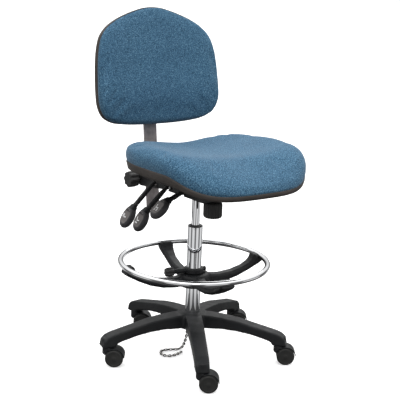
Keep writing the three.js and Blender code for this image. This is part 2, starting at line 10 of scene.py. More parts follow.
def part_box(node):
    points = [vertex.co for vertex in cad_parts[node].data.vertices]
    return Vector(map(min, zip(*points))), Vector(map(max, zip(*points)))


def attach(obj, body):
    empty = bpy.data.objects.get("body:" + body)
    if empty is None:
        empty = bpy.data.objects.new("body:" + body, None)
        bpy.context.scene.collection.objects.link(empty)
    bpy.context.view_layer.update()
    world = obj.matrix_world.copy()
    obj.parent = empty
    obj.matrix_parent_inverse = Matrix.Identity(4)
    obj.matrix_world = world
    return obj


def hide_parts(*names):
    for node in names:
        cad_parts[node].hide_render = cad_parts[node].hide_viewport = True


# A drafting chair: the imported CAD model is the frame, and this script makes its surfaces.
# Shapes are laid out in millimetres about the column's axis, as the CAD parts are, and placed by at().

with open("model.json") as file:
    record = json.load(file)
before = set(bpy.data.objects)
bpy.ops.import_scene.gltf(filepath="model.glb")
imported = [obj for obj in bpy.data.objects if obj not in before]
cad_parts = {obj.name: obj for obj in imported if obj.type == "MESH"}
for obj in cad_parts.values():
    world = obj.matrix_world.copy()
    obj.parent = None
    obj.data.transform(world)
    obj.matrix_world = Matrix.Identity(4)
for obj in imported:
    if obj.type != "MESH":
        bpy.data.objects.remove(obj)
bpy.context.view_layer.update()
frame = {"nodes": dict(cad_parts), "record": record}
nodes = frame["nodes"]
scene = bpy.context.scene

MM = 0.001

tube_low, tube_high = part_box("column_tube")
AXIS = Vector(((tube_low.x + tube_high.x) / 2, (tube_low.y + tube_high.y) / 2, 0))


def at(x, y, z):
    """A point given in millimetres about the column's axis, in the row frame."""
    return AXIS + Vector((x, y, z)) * MM


def smoothstep(x, low, high):
    t = np.clip((np.asarray(x, float) - low) / (high - low), 0, 1)
    return t * t * (3 - 2 * t)


def lerp(a, b, t):
    return a + (b - a) * t


# ---------------------------------------------------------------- camera
CAMERA_OFFSET = Vector((-1.7465, -2.4038, 1.2457))
CAMERA_TURN = math.radians(-36)
CAMERA_PITCH = math.radians(13.4)
CAMERA_ROLL = math.radians(2.09)
CAMERA_LENS = 83.55
CAMERA_SHIFT = 0.0092


def add_camera():
    data = bpy.data.cameras.new("camera")
    data.sensor_width = 36
    data.lens = CAMERA_LENS
    data.shift_x = CAMERA_SHIFT
    camera = bpy.data.objects.new("camera", data)
    scene.collection.objects.link(camera)
    camera.location = AXIS + CAMERA_OFFSET
    looking = Matrix.Rotation(CAMERA_TURN, 4, "Z") @ Matrix.Rotation(math.pi / 2 - CAMERA_PITCH, 4, "X")
    camera.rotation_euler = (looking @ Matrix.Rotation(CAMERA_ROLL, 4, "Z")).to_euler()
    scene.camera = camera


# ---------------------------------------------------------------- material nodes
class Shader:
    """A material's node tree, with short calls for the nodes it uses."""

    def __init__(self, name):
        self.material = bpy.data.materials.new(name)
        self.material.use_nodes = True
        self.tree = self.material.node_tree
        self.bsdf = self.tree.nodes["Principled BSDF"]

    def node(self, kind, **inputs):
        made = self.tree.nodes.new(kind)
        for key, value in inputs.items():
            made.inputs[key.replace("_", " ")].default_value = value
        return made

    def link(self, source, target):
        self.tree.links.new(source, target)

    def place(self):
        if not hasattr(self, "coordinates"):
            self.coordinates = self.tree.nodes.new("ShaderNodeTexCoord").outputs["Object"]
        return self.coordinates

    def stretched(self, x, y, z):
        made = self.node("ShaderNodeMapping", Scale=(x, y, z))
        self.link(self.place(), made.inputs["Vector"])
        return made.outputs["Vector"]

    def noise(self, scale, detail=2.0, roughness=0.5, vector=None):
        made = self.node("ShaderNodeTexNoise", Scale=scale, Detail=detail, Roughness=roughness)
        self.link(vector or self.place(), made.inputs["Vector"])
        return made.outputs["Fac"]

    def cells(self, scale):
        made = self.node("ShaderNodeTexVoronoi", Scale=scale)
        self.link(self.place(), made.inputs["Vector"])
        return made.outputs["Distance"]

    def ramp(self, fac, *stops):
        made = self.tree.nodes.new("ShaderNodeValToRGB")
        elements = made.color_ramp.elements
        while len(elements) < len(stops):
            elements.new(0.5)
        for element, (position, colour) in zip(elements, stops):
            element.position = position
            element.color = (*colour, 1) if len(colour) == 3 else colour
        self.link(fac, made.inputs["Fac"])
        return made.outputs["Color"]

    def mapped(self, fac, low, high, from_low=0.0, from_high=1.0):
        made = self.node("ShaderNodeMapRange")
        for index, value in enumerate((from_low, from_high, low, high)):
            made.inputs[index + 1].default_value = value
        self.link(fac, made.inputs["Value"])
        return made.outputs["Result"]

    def blended(self, mode, fac, a, b):
        made = self.tree.nodes.new("ShaderNodeMix")
        made.data_type = "RGBA"
        made.blend_type = mode
        made.inputs[0].default_value = fac if isinstance(fac, (int, float)) else 0
        if not isinstance(fac, (int, float)):
            self.link(fac, made.inputs[0])
        for socket, value in ((made.inputs[6], a), (made.inputs[7], b)):
            if isinstance(value, tuple):
                socket.default_value = (*value, 1)
            else:
                self.link(value, socket)
        return made.outputs[2]

    def bump(self, height, strength, distance, under=None):
        made = self.node("ShaderNodeBump", Strength=strength, Distance=distance)
        self.link(height, made.inputs["Height"])
        if under is not None:
            self.link(under, made.inputs["Normal"])
        return made.outputs["Normal"]

    def set(self, socket, value):
        target = self.bsdf.inputs[socket]
        if isinstance(value, bpy.types.NodeSocket):
            self.link(value, target)
        elif isinstance(value, tuple):
            target.default_value = (*value, 1)
        else:
            target.default_value = value


def moulded_plastic(name, dark, light, roughness=(0.42, 0.6), grain=1600, depth=0.00012):
    """Moulded nylon: a fine spark-eroded grain, faint cloudiness and paler scuffs."""
    s = Shader(name)
    cloud = s.noise(9, 4, 0.6)
    speck = s.noise(grain * 0.35, 2, 0.6)
    base = s.ramp(cloud, (0.3, dark), (0.72, light))
    scuffed = s.blended("ADD", s.mapped(speck, 0, 0.35, 0.6, 0.85), base, tuple(0.25 * c for c in light))
    s.set("Base Color", scuffed)
    s.set("Roughness", s.mapped(s.noise(35, 5, 0.65), *roughness, 0.3, 0.7))
    s.set("Specular IOR Level", 0.32)
    s.set("Normal", s.bump(s.noise(grain, 3, 0.7), 0.35, depth))
    return s.material


def chrome():
    s = Shader("chrome")
    s.set("Base Color", s.ramp(s.noise(4, 3), (0.3, (0.80, 0.81, 0.83)), (0.7, (0.90, 0.905, 0.915))))
    s.set("Metallic", 1.0)
    hairlines = s.noise(60, 6, 0.7, s.stretched(6, 6, 0.4))
    s.set("Roughness", s.mapped(hairlines, 0.02, 0.08, 0.35, 0.75))
    s.set("Normal", s.bump(s.noise(18, 2), 0.04, 0.0005))
    return s.material


def brushed_steel(name, dark, light, roughness=(0.22, 0.42)):
    s = Shader(name)
    grain = s.noise(90, 5, 0.7, s.stretched(1, 1, 22))
    s.set("Base Color", s.ramp(grain, (0.3, dark), (0.75, light)))
    s.set("Metallic", 1.0)
    s.set("Roughness", s.mapped(s.noise(45, 4), *roughness, 0.3, 0.7))
    s.set("Normal", s.bump(grain, 0.12, 0.0002))
    return s.material


def powder_coat(name, dark, light, metallic=0.0, roughness=(0.34, 0.5)):
    """Painted steel: orange peel, slight mottling and rubbed patches."""
    s = Shader(name)
    s.set("Base Color", s.ramp(s.noise(38, 6, 0.62), (0.34, dark), (0.68, light)))
    s.set("Metallic", metallic)
    s.set("Roughness", s.mapped(s.noise(22, 5, 0.6), *roughness, 0.3, 0.7))
    s.set("Normal", s.bump(s.noise(700, 2, 0.5), 0.25, 0.0002))
    return s.material


def woven_fabric():
    """Heathered crepe: dark and pale yarns knotted together, with a soft sheen at grazing angles."""
    s = Shader("woven_fabric")
    yarn = s.noise(640, 3, 0.75)
    fleck = s.noise(300, 2, 0.65)
    knot = s.cells(760)
    mix = s.blended("MIX", 0.55, yarn, fleck)
    body = s.ramp(
        mix,
        (0.37, (0.010, 0.033, 0.062)),
        (0.46, (0.040, 0.112, 0.190)),
        (0.53, (0.064, 0.164, 0.268)),
        (0.64, (0.205, 0.375, 0.520)),
    )
    worn = s.ramp(s.noise(7, 3, 0.55), (0.3, (0.90, 0.91, 0.93)), (0.7, (1.06, 1.05, 1.04)))
    s.set("Base Color", s.blended("MULTIPLY", 1.0, body, worn))
    s.set("Roughness", s.mapped(fleck, 0.82, 0.97, 0.3, 0.7))
    s.set("Specular IOR Level", 0.22)
    s.set("Sheen Weight", 0.45)
    s.set("Sheen Roughness", 0.35)
    s.set("Sheen Tint", (0.62, 0.76, 0.92))
    loops = s.bump(knot, 0.55, 0.0006)
    s.set("Normal", s.bump(yarn, 0.5, 0.0005, loops))
    return s.material


def ribbed_rubber():
    s = Shader("ribbed_rubber")
    s.set("Base Color", s.ramp(s.noise(70, 5), (0.3, (0.006, 0.006, 0.007)), (0.75, (0.018, 0.018, 0.019))))
    s.set("Roughness", s.mapped(s.noise(120, 4), 0.5, 0.72, 0.3, 0.7))
    s.set("Normal", s.bump(s.noise(1400, 2), 0.3, 0.0001))
    return s.material


def white_print():
    s = Shader("white_print")
    s.set("Base Color", s.ramp(s.noise(400, 4), (0.3, (0.62, 0.63, 0.64)), (0.6, (0.80, 0.80, 0.80))))
    s.set("Roughness", s.mapped(s.noise(250, 3), 0.45, 0.65))
    return s.material


def make_materials():
    made = {
        "nylon": moulded_plastic("nylon", (0.008, 0.009, 0.010), (0.016, 0.017, 0.019)),
        "wheel": moulded_plastic("wheel_plastic", (0.016, 0.016, 0.015), (0.032, 0.032, 0.031), (0.45, 0.62), 2200),
        "knob": moulded_plastic("knob_plastic", (0.025, 0.025, 0.025), (0.052, 0.050, 0.050), (0.36, 0.52), 2000),
        "paddle": moulded_plastic("paddle_plastic", (0.040, 0.040, 0.043), (0.070, 0.069, 0.072), (0.34, 0.5), 2600),
        "facet": moulded_plastic("paddle_facet", (0.100, 0.092, 0.090), (0.170, 0.155, 0.150), (0.4, 0.55), 2600),
        "edge": moulded_plastic(
            "edge_moulding", (0.050, 0.043, 0.039), (0.088, 0.077, 0.070), (0.5, 0.68), 1300, 0.0002
        ),
        "chrome": chrome(),
        "steel": brushed_steel("steel", (0.36, 0.365, 0.37), (0.60, 0.60, 0.61)),
        "chain": brushed_steel("chain_steel", (0.46, 0.45, 0.43), (0.72, 0.70, 0.67), (0.2, 0.4)),
        # Every other chain link takes this much darker steel: painted shade, standing in for the dark reflections of
        # the links.
        "painted_shade_link": brushed_steel("painted_shade_steel", (0.035, 0.034, 0.032), (0.11, 0.105, 0.10), (0.3, 0.5)),
        "black_steel": powder_coat("black_steel", (0.013, 0.013, 0.014), (0.030, 0.030, 0.031)),
        "upright": powder_coat("upright_paint", (0.32, 0.29, 0.29), (0.53, 0.48, 0.48), 0.4, (0.28, 0.42)),
        "fabric": woven_fabric(),
        "rubber": ribbed_rubber(),
        "print": white_print(),
    }
    return made


SLOTS = {
    "nylon": "nylon", "wheel": "wheel_tread", "knob": "knob_plastic", "paddle": "paddle_plastic",
    "facet": "paddle_plastic",
    "edge": "edge_moulding", "chrome": "chrome", "steel": "steel", "chain": "chain_steel",
    "painted_shade_link": "chain_steel", "black_steel": "black_steel", "upright": "upright_paint", "fabric": "upholstery",
    "rubber": "lever_rubber", "print": "paddle_plastic",
}
MATERIAL_OF_SLOT = {slot: key for key, slot in SLOTS.items() if key not in ("print", "facet", "painted_shade_link")}


# ---------------------------------------------------------------- mesh helpers
def skin(rings, looped=False):
    """(points, faces) over rings of points with the same count; looped joins the last ring to the first."""
    rings = np.asarray(rings, float)
    count, size = rings.shape[:2]
    faces = []
    for r in range(count if looped else count - 1):
        a, b = r * size, (r + 1) % count * size
        for i in range(size):
            j = (i + 1) % size
            faces.append((a + i, a + j, b + j, b + i))
    if not looped:
        faces.append(tuple(range(size - 1, -1, -1)))
        faces.append(tuple((count - 1) * size + i for i in range(size)))
    return rings.reshape(-1, 3), faces


def rounded(profile, radius, looped=False, steps=3):
    """The profile with its corners rounded, each by at most 0.45 of its shorter side."""
    points = [np.array(p, float) for p in profile]
    made = []
    for i, p in enumerate(points):
        if not looped and i in (0, len(points) - 1):
            made.append(p)
            continue
        a, b = points[i - 1], points[(i + 1) % len(points)]
        reach = min(radius, 0.45 * np.linalg.norm(a - p), 0.45 * np.linalg.norm(b - p))
        start = p + (a - p) / np.linalg.norm(a - p) * reach
        end = p + (b - p) / np.linalg.norm(b - p) * reach
        for t in np.linspace(0, 1, steps + 1):
            made.append((1 - t) ** 2 * start + 2 * t * (1 - t) * p + t * t * end)
    return made


def turned(profile, segments=72, looped=False, lobes=0, lobe_depth=0.0):
    """(points, faces) of [radius, height] points turned about Z. Lobes scallop the radius."""
    turn = np.arange(segments) / segments * 2 * math.pi
    dip = 1 - lobe_depth * (0.5 - 0.5 * np.cos(lobes * turn)) ** 1.5 if lobes else np.ones(segments)
    rings = [
        np.stack([r * dip * np.cos(turn), r * dip * np.sin(turn), np.full(segments, z)], 1) for r, z in profile
    ]
    return skin(rings, looped)


def curve_span(p0, p1, p2, p3, steps):
    """Points from p1 towards p2 on the centripetal Catmull-Rom curve through four points."""
    t1 = np.linalg.norm(p1 - p0) ** 0.5
    t2 = t1 + np.linalg.norm(p2 - p1) ** 0.5
    t3 = t2 + np.linalg.norm(p3 - p2) ** 0.5
    span = []
    for t in np.linspace(t1, t2, steps, endpoint=False):
        a1 = lerp(p0, p1, t / t1)
        a2 = lerp(p1, p2, (t - t1) / (t2 - t1))
        a3 = lerp(p2, p3, (t - t2) / (t3 - t2))
        span.append(lerp(lerp(a1, a2, t / t2), lerp(a2, a3, (t - t1) / (t3 - t1)), (t - t1) / (t2 - t1)))
    return span


def length_run(line):
    """How far along the line each of its points lies."""
    return np.concatenate([[0], np.cumsum(np.linalg.norm(np.diff(line, axis=0), axis=1))])


def sampled(line, run, want):
    return np.stack([np.interp(want, run, line[:, k]) for k in range(line.shape[1])], 1)


def between(start, end):
    """The matrix that takes +Z to the way from start to end, with its origin at start."""
    way = (Vector(end) - Vector(start)).normalized()
    return Matrix.Translation(start) @ way.to_track_quat("Z", "Y").to_matrix().to_4x4()


class Shape:
    """Solids gathered into one mesh, in millimetres about the column's axis."""

    def __init__(self):
        self.points = []
        self.faces = []

    def add(self, solid, matrix=None):
        points, faces = solid
        start = len(self.points)
        matrix = matrix or Matrix()
        self.points += [matrix @ Vector(p) for p in points]
        self.faces += [tuple(start + i for i in f) for f in faces]
        return self


def finished(obj, key, body, stands_for=(), sharp=35):
    """Gives a piece its material and shading, and ties it to its body."""
    obj.data.materials.clear()
    obj.data.materials.append(MATERIALS[key])
    for polygon in obj.data.polygons:
        polygon.use_smooth = True
    obj.data.set_sharp_from_angle(angle=math.radians(sharp))
    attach(obj, body)
    if stands_for:
        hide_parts(*stands_for)
    return obj


def mesh_of(name, shape):
    mesh = bpy.data.meshes.new(name)
    mesh.from_pydata([at(*p) for p in shape.points], [], shape.faces)
    work = bmesh.new()
    work.from_mesh(mesh)
    bmesh.ops.recalc_face_normals(work, faces=work.faces)
    work.to_mesh(mesh)
    work.free()
    return mesh


def piece(name, shape, key, body, stands_for=(), sharp=35):
    obj = bpy.data.objects.new(name, mesh_of(name, shape))
    scene.collection.objects.link(obj)
    return finished(obj, key, body, stands_for, sharp)


def baked_down(obj):
    """Replaces the object's mesh by what its modifiers make of it."""
    bpy.context.view_layer.update()
    graph = bpy.context.evaluated_depsgraph_get()
    made = bpy.data.meshes.new_from_object(obj.evaluated_get(graph))
    obj.modifiers.clear()
    obj.data = made
    return obj


def voxel_smooth(obj, voxel, rounds):
    remesh = obj.modifiers.new("remesh", "REMESH")
    remesh.mode = "VOXEL"
    remesh.voxel_size = voxel * MM * 1
    smooth = obj.modifiers.new("smooth", "SMOOTH")
    smooth.factor = 0.5
    smooth.iterations = rounds
    return baked_down(obj)


def moulded(name, node, key, body, voxel, rounds):
    """A smooth moulding over a CAD node: its edges and its inside corners are rounded."""
    obj = bpy.data.objects.new(name, nodes[node].data.copy())
    scene.collection.objects.link(obj)
    work = bmesh.new()
    work.from_mesh(obj.data)
    bmesh.ops.remove_doubles(work, verts=work.verts, dist=1e-5)
    work.to_mesh(obj.data)
    work.free()
    voxel_smooth(obj, voxel, rounds)
    return finished(obj, key, body, [node], 60)


# ---------------------------------------------------------------- column and gas lift
def build_column():
    tube = rounded([(5.4, 112), (25, 112), (25, 449.5), (22.2, 449.5), (22.2, 114), (5.4, 114)], 0.8, True)
    piece("column_outer_tube", Shape().add(turned(tube, 96, True)), "chrome", "base", ["column_tube"])
    bush = rounded(
        [(14.4, 388), (21.9, 388), (21.9, 449.8), (24.5, 449.8), (24.5, 452), (23.2, 453.4), (17, 453.4), (14.4, 451)],
        0.8, True,
    )
    piece("column_top_bush", Shape().add(turned(bush, 96, True)), "knob", "base", ["column_bush"])
    cylinder = rounded(
        [(11, 223), (14, 223), (14, 584.6), (12.8, 586), (4.6, 586), (4.6, 574), (2, 574), (2, 560), (11, 560)],
        0.7, True,
    )
    piece("gas_cylinder_tube", Shape().add(turned(cylinder, 72, True)), "chrome", "lift", ["gas_cylinder"])


# ---------------------------------------------------------------- five-arm base
FIRST_ARM = -119
STEM_RADIUS = 300
ARM_SIDE = [
    (30, 150), (60, 149.4), (110, 145.6), (160, 138.6), (205, 128), (250, 118), (288, 109.4), (306, 102.6), (319, 90),
    (324.5, 66.5), (279, 66.5), (273, 77.5), (255, 83.6), (205, 96.4), (160, 103.4), (110, 106.6), (60, 103.6),
    (30, 103.6),
]
ARM_ROOF = [(62, 138), (110, 136), (160, 129), (205, 118), (245, 108), (268, 96)]
ARM_RIBS = [62, 90, 118, 146, 174, 202, 230, 254, 268]
ARM_WIDTH = 24


def arm_taper(r):
    return lerp(1.15, 0.92, float(np.clip((r - 60) / 230, 0, 1)))


def prism(outline, half, taper=lambda r: 1):
    """A side outline of [r, z] points pushed out to both sides of y = 0."""
    return skin([[(r, side * half * taper(r), z) for r, z in outline] for side in (-1, 1)])


def arm_turns():
    return [Matrix.Rotation(math.radians(FIRST_ARM + 72 * k), 4, "Z") for k in range(5)]


def base_cells():
    """The open cells under the arms, between a middle rib and cross ribs, and the bores of the stems and column."""
    shape = Shape()
    roof = lambda r: float(np.interp(r, *zip(*ARM_ROOF)))
    for turn in arm_turns():
        for inner, outer in zip(ARM_RIBS, ARM_RIBS[1:]):
            r0, r1 = inner + 1.2, outer - 1.2
            for side in (-1, 1):
                ring = lambda r, z: [(r, side * y, z) for y in (1.4, 15.2 * arm_taper(r))]
                low, top = (60, 60), (roof(r0), roof(r1))
                corners = [ring(r0, low[0]) + ring(r1, low[1])[::-1], ring(r0, top[0]) + ring(r1, top[1])[::-1]]
                shape.add(skin(corners), turn)
        stem = turned([(0.05, 58), (5.9, 58), (5.9, 98.6), (0.05, 98.6)], 24)
        shape.add(stem, turn @ Matrix.Translation((STEM_RADIUS, 0, 0)))
    shape.add(turned([(0.05, 85), (40, 85), (40, 110), (25.3, 110), (25.3, 170), (0.05, 170)], 64))
    return shape


def build_base():
    shape = Shape()
    for turn in arm_turns():
        shape.add(prism(ARM_SIDE, ARM_WIDTH, arm_taper), turn)
        socket = turned([(0.05, 66.8), (20.5, 66.8), (21.8, 70), (21.8, 98), (0.05, 98)], 40)
        shape.add(socket, turn @ Matrix.Translation((STEM_RADIUS, 0, 0)))
    shape.add(turned([(0.05, 100), (49, 100), (54, 106), (54.5, 138), (47, 149), (36, 153.4), (0.05, 153.4)], 96))
    obj = bpy.data.objects.new("base_moulding", mesh_of("base_moulding", shape))
    scene.collection.objects.link(obj)
    voxel_smooth(obj, 2.4, 16)
    cells = bpy.data.objects.new("base_cells", mesh_of("base_cells", base_cells()))
    scene.collection.objects.link(cells)
    carve = obj.modifiers.new("carve", "BOOLEAN")
    carve.operation = "DIFFERENCE"
    carve.solver = "MANIFOLD"
    carve.object = cells
    baked_down(obj)
    bpy.data.objects.remove(cells)
    finished(obj, "nylon", "base", ["base_star"], 50)


# ---------------------------------------------------------------- casters
TRAIL = math.radians(-36)
WHEEL_PROFILE = [
    (3.2, 24.2), (7, 24.5), (8, 23.9), (21.5, 23.7), (22.6, 24.6), (25.8, 24.2), (28.6, 22.4), (30, 19.6), (30, 14.9),
    (29.4, 14.4), (29.4, 13.4), (30, 12.9), (30, 9.2), (29.2, 8.3), (3.2, 8.3),
]


def stem_place(k):
    """Where the k-th caster's stem stands, in millimetres about the column's axis."""
    low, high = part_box(f"caster_stem_{k}")
    return ((low + high) / 2 - AXIS) / MM


def build_casters():
    profile = [(0.05, 24.2)] + rounded(WHEEL_PROFILE[1:-1], 0.5) + [(3.2, 8.3), (3.2, 20.8), (0.05, 20.8)]
    first = stem_place(1)
    hood = None
    for k in range(1, 6):
        stem = stem_place(k)
        local = Matrix.Translation((stem.x, stem.y, 0)) @ Matrix.Rotation(TRAIL, 4, "Z")
        for side, name in ((1, "left"), (-1, "right")):
            turn = Matrix.Rotation(-side * math.pi / 2, 4, "X")
            wheel = Shape().add(turned(profile, 64), local @ Matrix.Translation((22, 0, 30)) @ turn)
            piece(f"caster_{name}_wheel_{k}", wheel, "wheel", f"wheel_{name}_{k}", [f"wheel_{name}_{k}"])
        if hood is None:
            hood = moulded("caster_yoke_1", "caster_hood_1", "nylon", "caster_1", 1.1, 4)
            continue
        other = bpy.data.objects.new(f"caster_yoke_{k}", hood.data.copy())
        scene.collection.objects.link(other)
        shift = (Vector((stem.x, stem.y, 0)) - Vector((first.x, first.y, 0))) * MM
        other.data.transform(Matrix.Translation(shift))
        finished(other, "nylon", f"caster_{k}", [f"caster_hood_{k}"], 60)


# ---------------------------------------------------------------- foot ring
RING_Z = 328
RING_R = 245
RING_TUBE = 9.5
KNOB_TURN = math.radians(170)
KNOB_Z = 299


def build_foot_ring():
    turn = np.linspace(0, 2 * math.pi, 25)[:-1]
    circle = [(RING_R + RING_TUBE * math.cos(t), RING_Z + RING_TUBE * math.sin(t)) for t in turn]
    piece("foot_ring_tube", Shape().add(turned(circle, 256, True)), "chrome", "foot_ring", ["foot_ring"])
    moulded("foot_ring_spider", "ring_hub", "nylon", "foot_ring", 2.0, 6)
    moulded("ring_sleeve", "ring_collar", "nylon", "ring_slider", 1.3, 4)
    grip = rounded([(0.05, 74.3), (11, 74.3), (14.6, 77), (16, 81), (16, 98), (13.4, 104), (0.05, 105)], 2.5)
    screw = [(0.05, 26), (4, 26), (4, 80), (0.05, 80)]
    place = Matrix.Rotation(KNOB_TURN, 4, "Z") @ Matrix.Translation((0, 0, KNOB_Z))
    place = place @ Matrix.Rotation(math.pi / 2, 4, "Y")
    shape = Shape().add(turned(grip, 96, lobes=6, lobe_depth=0.2), place)
    piece("ring_clamp_grip", shape, "knob", "ring_knob", ["ring_knob"], 50)
    piece("ring_clamp_screw", Shape().add(turned(screw, 32), place), "steel", "ring_knob")


# ---------------------------------------------------------------- mechanism and levers
LEVERS = {
    "height": {"root": (-57, 0, 570), "rod_angle": 25, "rod_length": 50, "head_angle": 43},
    "tilt": {"root": (-57, 88, 571), "rod_angle": 46, "rod_length": 98, "head_angle": 62},
    "back": {"root": (-57, 163, 575), "rod_angle": 48, "rod_length": 108, "head_angle": 60},
}
PADDLE_STATIONS = [
    (0.3, 10.2, 10.2), (2.5, 11.8, 11.6), (8.5, 13.0, 12.4), (13, 15.2, 13.8), (22, 19.8, 16.8), (36, 24.2, 19.4),
    (52, 24.8, 19.8), (68, 21.4, 16.8), (76, 16.2, 13.2), (81, 10.6, 9), (84, 4.6, 4), (84.8, 0.8, 0.8),
]
PADDLE_HALF_THICKNESS = 19.8
PADDLE_SQUARENESS = 2.3
FACET = 0.60  # how far out the paddle's flat face lies, as a share of the paddle's half thickness


def spaced(values, count):
    """Rows of numbers resampled along their index by a smooth curve through them."""
    rows = np.asarray(values, float)
    where = np.linspace(0, len(rows) - 1, count)
    out = []
    for w in where:
        i = min(int(w), len(rows) - 2)
        t = w - i
        p0, p1, p2, p3 = rows[max(i - 1, 0)], rows[i], rows[i + 1], rows[min(i + 2, len(rows) - 1)]
        square, cube = 2 * p0 - 5 * p1 + 4 * p2 - p3, 3 * p1 - p0 - 3 * p2 + p3
        out.append(0.5 * (2 * p1 + (p2 - p0) * t + square * t**2 + cube * t**3))
    return np.array(out)


def lever_line(name):
    lever = LEVERS[name]
    rod, head = math.radians(lever["rod_angle"]), math.radians(lever["head_angle"])
    start = Vector(lever["root"])
    way = Vector((-math.cos(rod), 0.1, -math.sin(rod))).normalized()
    ahead = Vector((-math.cos(head), 0.06, -math.sin(head))).normalized()
    return start, way, start + way * lever["rod_length"], ahead


def paddle_rings(name):
    """The paddle's rings, and its middle, its way, its side and the outward normal of its flat face."""
    _, way, end, head = lever_line(name)
    centre = end.copy()
    reached, rings, middle = 0.0, [], None
    turn = np.arange(40) / 40 * 2 * math.pi
    c, s = np.cos(turn), np.sin(turn)
    power = 2 / PADDLE_SQUARENESS
    for station, half_u, half_v in spaced(PADDLE_STATIONS, 46):
        half_u, half_v = max(half_u, 0.5), max(half_v, 0.5)
        along = way.lerp(head, float(smoothstep(station, 0, 26))).normalized()
        centre = centre + along * (station - reached)
        reached = station
        across = (Vector((0, 1, 0)) - along * along.y).normalized()
        normal = along.cross(across).normalized()
        u = half_u * np.sign(c) * np.abs(c) ** power
        v = half_v * np.sign(s) * np.abs(s) ** power
        flat = float(smoothstep(station, 14, 30) * (1 - smoothstep(station, 66, 82)))
        limit = -lerp(1.0, FACET, flat) * PADDLE_HALF_THICKNESS
        v = np.where(v < limit, limit + (v - limit) * 0.08, v)
        rings.append(np.array(centre) + np.outer(u, across) + np.outer(v, normal))
        if middle is None and station > 48:
            middle = (centre + normal * limit, along, across, -normal)
    return rings, middle


def stroke(a, b, width, lift):
    """A flat bar from a to b in the plane z = 0, standing proud by lift."""
    a, b = Vector(a), Vector(b)
    way = (b - a).normalized()
    side, tip = Vector((-way.y, way.x)) * width / 2, way * width / 2
    corners = [a - side - tip, b - side + tip, b + side + tip, a + side - tip]
    ring = lambda z: [(p.x, p.y, z) for p in corners]
    return skin([ring(-0.3), ring(lift)])


def pictogram(kind):
    """A generic sign as (from, to) strokes, in millimetres: a seat's side view and the way it moves."""
    seat = [((-4.5, 6), (-3, -0.5)), ((-3, -0.5), (3.5, 0.8))]
    up = [((5, -6), (5, -2)), ((-3, -6), (-3, -4))]
    tilt = [((-5, -5), (0, -5.5))]
    lean = [((-7.5, 5), (-7, 1))]
    return seat + {"height": up, "tilt": tilt, "back": lean}[kind]


def dress_grip(grip, count, size, outward):
    """A dark neck, and a paler plate on the flat face of the paddle."""
    grip.data.materials.append(MATERIALS["nylon"])
    grip.data.materials.append(MATERIALS["facet"])
    for index, polygon in enumerate(grip.data.polygons):
        ring = index // size
        if ring < count * 0.30:
            polygon.material_index = 1
        elif ring < count and polygon.normal.dot(outward) > 0.95:
            polygon.material_index = 2


def build_levers():
    for name in LEVERS:
        body = f"{name}_lever"
        start, _, end, _ = lever_line(name)
        length = (end - start).length
        ribs = [(0.05, 0), (6.8, 0), (7.2, 3)]
        pitch = 5.2
        for i in range(int((length - 10) / pitch)):
            z = 4 + i * pitch
            crest = lerp(7.6, 8.9, float(smoothstep(z, 8, 30)))
            ribs += [(crest, z + 0.6), (crest, z + 3.0), (crest - 1.5, z + 3.8), (crest - 1.5, z + 4.8)]
        ribs += [(8.9, length - 4.5), (8.9, length - 0.4), (0.05, length - 0.4)]
        rod = Shape().add(turned(rounded(ribs, 0.5, steps=2), 40), between(start, end))
        piece(f"{name}_lever_sleeve", rod, "rubber", body, [f"{name}_lever_rod"], 50)
        rings, (centre, along, _, outward) = paddle_rings(name)
        grip = piece(f"{name}_lever_grip", Shape().add(skin(rings)), "paddle", body, [f"{name}_lever_paddle"], 50)
        dress_grip(grip, len(rings), len(rings[0]), outward)
        up = -along
        right = up.cross(outward).normalized()
        face = Matrix((right, up, outward)).transposed().to_4x4()
        face.translation = centre + outward * 1.0
        sign = Shape()
        for a, b in pictogram(name):
            sign.add(stroke(a, b, 2.6, 0.4), face @ Matrix.Scale(1.55, 4))
        piece(f"{name}_lever_sign", sign, "print", body)


TENSION_KNOB_AT = (0, -92, 0)
CLAMP_KNOB_AT = (0, 270, 564)


def build_mechanism():
    moulded("mechanism_case", "mech_housing", "black_steel", "lift", 1.6, 3)
    moulded("back_carrier_casting", "back_carrier", "black_steel", "back_carrier", 1.6, 3)
    skirt = rounded(
        [(0.05, 499.2), (23, 499.2), (29, 502), (31, 507), (31, 544), (28.5, 550), (24, 552), (5.4, 552)], 2.5
    )
    grip = skirt + [(5.4, 506), (0.05, 506)]
    knob = Shape().add(turned(grip, 144, lobes=18, lobe_depth=0.085), Matrix.Translation(TENSION_KNOB_AT))
    piece("tension_hand_knob", knob, "knob", "tension", ["tension_knob"], 50)
    place = Matrix.Translation(CLAMP_KNOB_AT) @ Matrix.Rotation(-math.pi / 2, 4, "Y")
    lobed = rounded(
        [(0.05, 64.2), (23, 64.2), (27, 66.5), (28.5, 70), (28.5, 95), (27, 99.5), (22, 100.8), (0.05, 100.8)], 3
    )
    shape = Shape().add(turned(lobed, 144, lobes=8, lobe_depth=0.15), place)
    piece("clamp_hand_knob", shape, "knob", "clamp_knob", ["clamp_knob"], 50)
    screw = Shape().add(turned([(0.05, 32), (5, 32), (5, 70), (0.05, 70)], 32), place)
    piece("clamp_hand_screw", screw, "steel", "clamp_knob")


# ---------------------------------------------------------------- seat
SEAT_HALF_WIDTH, SEAT_HALF_DEPTH, SEAT_CENTRE_Y, SEAT_MOUNT_Z = 259, 240, -104, 607.5
AROUND = 160


def seam_height(v):
    return 682 - 52 * smoothstep(-v, 0.31, 1.02) ** 1.12 - 4 * smoothstep(v, 0.5, 1)


def band_height(v):
    return 28 - 10 * smoothstep(-v, 0.3, 1)


